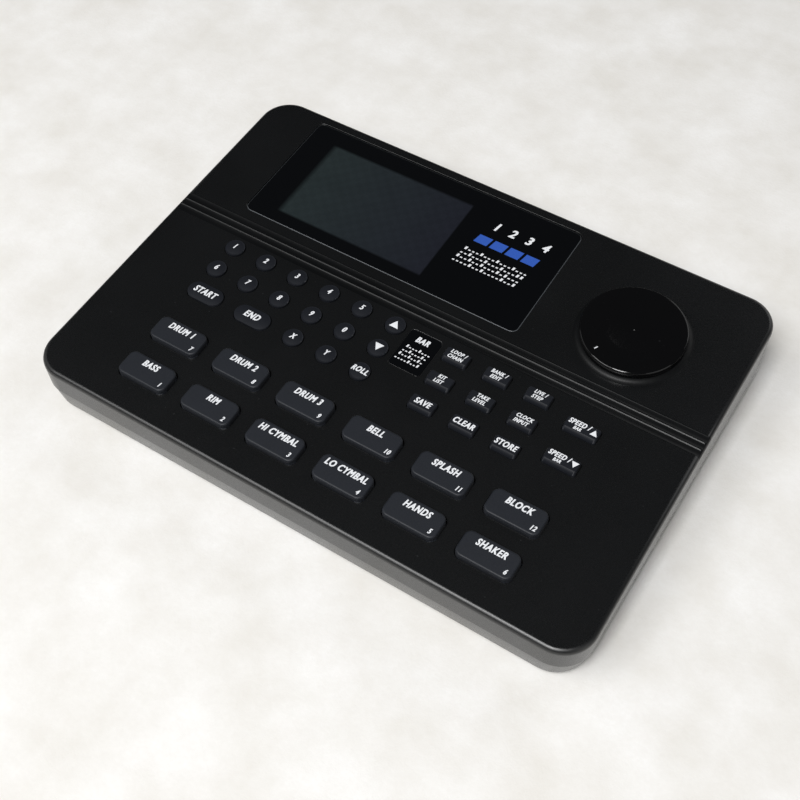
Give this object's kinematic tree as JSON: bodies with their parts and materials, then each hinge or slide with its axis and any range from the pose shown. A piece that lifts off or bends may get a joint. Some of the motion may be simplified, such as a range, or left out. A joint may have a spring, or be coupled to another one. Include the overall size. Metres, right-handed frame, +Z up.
{
  "type": "drum machine",
  "caption": "Wedge-shaped desktop drum machine with rubber pads and keys that press, a display window, a dished volume dial and sockets at the back.",
  "frame": {"origin": "centre of the footprint at table height", "axes": "+X to the right of the keyboard side, +Y to the back where the sockets are, +Z up; the deck falls towards -Y"},
  "size_m": [0.236, 0.166, 0.0403],
  "materials": {
    "case_plastic": "fine matt grain, near black",
    "pad_rubber": "matt slate silicone rubber",
    "key_rubber": "matt slate silicone rubber",
    "window_gloss": "polished black acrylic",
    "lcd": "grey-green liquid crystal behind the window",
    "label_gloss": "polished black",
    "dial_gloss": "polished black",
    "steel": "plain turned steel",
    "nut_steel": "plated",
    "silicone": "plain silicone",
    "board": "green solder mask",
    "socket_plastic": "plain black",
    "foot_rubber": "black rubber"
  },
  "bodies": {
    "case": {"top_cover": "case_plastic", "bottom_case": "case_plastic", "display_window": "window_gloss", "lcd_module": "lcd", "info_label": "label_gloss", "volume_pot": "steel", "pad_mat": "silicone", "key_mat": "silicone", "panel_board": "board", "main_board": "board", "phone_jacks": "socket_plastic", "jack_nuts": "nut_steel", "midi_sockets": "socket_plastic", "power_inlet": "socket_plastic", "power_switch": "socket_plastic", "case_screws": "steel", "rubber_feet": "foot_rubber"},
    "dial": {"volume_dial": "dial_gloss", "pot_shaft": "steel"},
    "lever": {"switch_lever": "socket_plastic"},
    "pad_1": {"pad_1": "pad_rubber"},
    "pad_2": {"pad_2": "pad_rubber"},
    "pad_3": {"pad_3": "pad_rubber"},
    "pad_4": {"pad_4": "pad_rubber"},
    "pad_5": {"pad_5": "pad_rubber"},
    "pad_6": {"pad_6": "pad_rubber"},
    "pad_7": {"pad_7": "pad_rubber"},
    "pad_8": {"pad_8": "pad_rubber"},
    "pad_9": {"pad_9": "pad_rubber"},
    "pad_10": {"pad_10": "pad_rubber"},
    "pad_11": {"pad_11": "pad_rubber"},
    "pad_12": {"pad_12": "pad_rubber"},
    "key_0": {"key_0": "key_rubber"},
    "key_1": {"key_1": "key_rubber"},
    "key_2": {"key_2": "key_rubber"},
    "key_3": {"key_3": "key_rubber"},
    "key_4": {"key_4": "key_rubber"},
    "key_5": {"key_5": "key_rubber"},
    "key_6": {"key_6": "key_rubber"},
    "key_7": {"key_7": "key_rubber"},
    "key_8": {"key_8": "key_rubber"},
    "key_9": {"key_9": "key_rubber"},
    "key_up": {"key_up": "key_rubber"},
    "key_down": {"key_down": "key_rubber"},
    "key_a": {"key_a": "key_rubber"},
    "key_b": {"key_b": "key_rubber"},
    "key_roll": {"key_roll": "key_rubber"},
    "key_play": {"key_play": "key_rubber"},
    "key_stop": {"key_stop": "key_rubber"},
    "function_key_1": {"function_key_1": "key_rubber"},
    "function_key_2": {"function_key_2": "key_rubber"},
    "function_key_3": {"function_key_3": "key_rubber"},
    "function_key_4": {"function_key_4": "key_rubber"},
    "function_key_5": {"function_key_5": "key_rubber"},
    "function_key_6": {"function_key_6": "key_rubber"},
    "function_key_7": {"function_key_7": "key_rubber"},
    "function_key_8": {"function_key_8": "key_rubber"},
    "function_key_9": {"function_key_9": "key_rubber"},
    "tempo_up_key": {"tempo_up_key": "key_rubber"},
    "tempo_down_key": {"tempo_down_key": "key_rubber"}
  },
  "joints": [
    {"name": "pad_1_press", "type": "slide", "parent": "case", "child": "pad_1", "axis": [0, 0.0872, -0.9962], "range_m": [0, 0.0012], "stiffness_N_per_m": 1500},
    {"name": "pad_2_press", "type": "slide", "parent": "case", "child": "pad_2", "axis": [0, 0.0872, -0.9962], "range_m": [0, 0.0012], "stiffness_N_per_m": 1500},
    {"name": "pad_3_press", "type": "slide", "parent": "case", "child": "pad_3", "axis": [0, 0.0872, -0.9962], "range_m": [0, 0.0012], "stiffness_N_per_m": 1500},
    {"name": "pad_4_press", "type": "slide", "parent": "case", "child": "pad_4", "axis": [0, 0.0872, -0.9962], "range_m": [0, 0.0012], "stiffness_N_per_m": 1500},
    {"name": "pad_5_press", "type": "slide", "parent": "case", "child": "pad_5", "axis": [0, 0.0872, -0.9962], "range_m": [0, 0.0012], "stiffness_N_per_m": 1500},
    {"name": "pad_6_press", "type": "slide", "parent": "case", "child": "pad_6", "axis": [0, 0.0872, -0.9962], "range_m": [0, 0.0012], "stiffness_N_per_m": 1500},
    {"name": "pad_7_press", "type": "slide", "parent": "case", "child": "pad_7", "axis": [0, 0.0872, -0.9962], "range_m": [0, 0.0012], "stiffness_N_per_m": 1500},
    {"name": "pad_8_press", "type": "slide", "parent": "case", "child": "pad_8", "axis": [0, 0.0872, -0.9962], "range_m": [0, 0.0012], "stiffness_N_per_m": 1500},
    {"name": "pad_9_press", "type": "slide", "parent": "case", "child": "pad_9", "axis": [0, 0.0872, -0.9962], "range_m": [0, 0.0012], "stiffness_N_per_m": 1500},
    {"name": "pad_10_press", "type": "slide", "parent": "case", "child": "pad_10", "axis": [0, 0.0872, -0.9962], "range_m": [0, 0.0012], "stiffness_N_per_m": 1500},
    {"name": "pad_11_press", "type": "slide", "parent": "case", "child": "pad_11", "axis": [0, 0.0872, -0.9962], "range_m": [0, 0.0012], "stiffness_N_per_m": 1500},
    {"name": "pad_12_press", "type": "slide", "parent": "case", "child": "pad_12", "axis": [0, 0.0872, -0.9962], "range_m": [0, 0.0012], "stiffness_N_per_m": 1500},
    {"name": "key_0_press", "type": "slide", "parent": "case", "child": "key_0", "axis": [0, 0.0872, -0.9962], "range_m": [0, 0.0012], "stiffness_N_per_m": 1000},
    {"name": "key_1_press", "type": "slide", "parent": "case", "child": "key_1", "axis": [0, 0.0872, -0.9962], "range_m": [0, 0.0012], "stiffness_N_per_m": 1000},
    {"name": "key_2_press", "type": "slide", "parent": "case", "child": "key_2", "axis": [0, 0.0872, -0.9962], "range_m": [0, 0.0012], "stiffness_N_per_m": 1000},
    {"name": "key_3_press", "type": "slide", "parent": "case", "child": "key_3", "axis": [0, 0.0872, -0.9962], "range_m": [0, 0.0012], "stiffness_N_per_m": 1000},
    {"name": "key_4_press", "type": "slide", "parent": "case", "child": "key_4", "axis": [0, 0.0872, -0.9962], "range_m": [0, 0.0012], "stiffness_N_per_m": 1000},
    {"name": "key_5_press", "type": "slide", "parent": "case", "child": "key_5", "axis": [0, 0.0872, -0.9962], "range_m": [0, 0.0012], "stiffness_N_per_m": 1000},
    {"name": "key_6_press", "type": "slide", "parent": "case", "child": "key_6", "axis": [0, 0.0872, -0.9962], "range_m": [0, 0.0012], "stiffness_N_per_m": 1000},
    {"name": "key_7_press", "type": "slide", "parent": "case", "child": "key_7", "axis": [0, 0.0872, -0.9962], "range_m": [0, 0.0012], "stiffness_N_per_m": 1000},
    {"name": "key_8_press", "type": "slide", "parent": "case", "child": "key_8", "axis": [0, 0.0872, -0.9962], "range_m": [0, 0.0012], "stiffness_N_per_m": 1000},
    {"name": "key_9_press", "type": "slide", "parent": "case", "child": "key_9", "axis": [0, 0.0872, -0.9962], "range_m": [0, 0.0012], "stiffness_N_per_m": 1000},
    {"name": "key_up_press", "type": "slide", "parent": "case", "child": "key_up", "axis": [0, 0.0872, -0.9962], "range_m": [0, 0.0012], "stiffness_N_per_m": 1000},
    {"name": "key_down_press", "type": "slide", "parent": "case", "child": "key_down", "axis": [0, 0.0872, -0.9962], "range_m": [0, 0.0012], "stiffness_N_per_m": 1000},
    {"name": "key_a_press", "type": "slide", "parent": "case", "child": "key_a", "axis": [0, 0.0872, -0.9962], "range_m": [0, 0.0012], "stiffness_N_per_m": 1000},
    {"name": "key_b_press", "type": "slide", "parent": "case", "child": "key_b", "axis": [0, 0.0872, -0.9962], "range_m": [0, 0.0012], "stiffness_N_per_m": 1000},
    {"name": "key_roll_press", "type": "slide", "parent": "case", "child": "key_roll", "axis": [0, 0.0872, -0.9962], "range_m": [0, 0.0012], "stiffness_N_per_m": 1000},
    {"name": "key_play_press", "type": "slide", "parent": "case", "child": "key_play", "axis": [0, 0.0872, -0.9962], "range_m": [0, 0.0012], "stiffness_N_per_m": 1000},
    {"name": "key_stop_press", "type": "slide", "parent": "case", "child": "key_stop", "axis": [0, 0.0872, -0.9962], "range_m": [0, 0.0012], "stiffness_N_per_m": 1000},
    {"name": "function_key_1_press", "type": "slide", "parent": "case", "child": "function_key_1", "axis": [0, 0.0872, -0.9962], "range_m": [0, 0.0012], "stiffness_N_per_m": 1000},
    {"name": "function_key_2_press", "type": "slide", "parent": "case", "child": "function_key_2", "axis": [0, 0.0872, -0.9962], "range_m": [0, 0.0012], "stiffness_N_per_m": 1000},
    {"name": "function_key_3_press", "type": "slide", "parent": "case", "child": "function_key_3", "axis": [0, 0.0872, -0.9962], "range_m": [0, 0.0012], "stiffness_N_per_m": 1000},
    {"name": "function_key_4_press", "type": "slide", "parent": "case", "child": "function_key_4", "axis": [0, 0.0872, -0.9962], "range_m": [0, 0.0012], "stiffness_N_per_m": 1000},
    {"name": "function_key_5_press", "type": "slide", "parent": "case", "child": "function_key_5", "axis": [0, 0.0872, -0.9962], "range_m": [0, 0.0012], "stiffness_N_per_m": 1000},
    {"name": "function_key_6_press", "type": "slide", "parent": "case", "child": "function_key_6", "axis": [0, 0.0872, -0.9962], "range_m": [0, 0.0012], "stiffness_N_per_m": 1000},
    {"name": "function_key_7_press", "type": "slide", "parent": "case", "child": "function_key_7", "axis": [0, 0.0872, -0.9962], "range_m": [0, 0.0012], "stiffness_N_per_m": 1000},
    {"name": "function_key_8_press", "type": "slide", "parent": "case", "child": "function_key_8", "axis": [0, 0.0872, -0.9962], "range_m": [0, 0.0012], "stiffness_N_per_m": 1000},
    {"name": "function_key_9_press", "type": "slide", "parent": "case", "child": "function_key_9", "axis": [0, 0.0872, -0.9962], "range_m": [0, 0.0012], "stiffness_N_per_m": 1000},
    {"name": "tempo_up_key_press", "type": "slide", "parent": "case", "child": "tempo_up_key", "axis": [0, 0.0872, -0.9962], "range_m": [0, 0.0012], "stiffness_N_per_m": 1000},
    {"name": "tempo_down_key_press", "type": "slide", "parent": "case", "child": "tempo_down_key", "axis": [0, 0.0872, -0.9962], "range_m": [0, 0.0012], "stiffness_N_per_m": 1000},
    {"name": "volume_turn", "type": "hinge", "parent": "case", "child": "dial", "pos_m": [0.0741, 0.04272, 0.034], "axis": [0, 0.0872, -0.9962], "range_deg": [0, 300]},
    {"name": "power_slide", "type": "slide", "parent": "case", "child": "lever", "axis": [1, 0, 0], "range_m": [0, 0.004]}
  ]
}
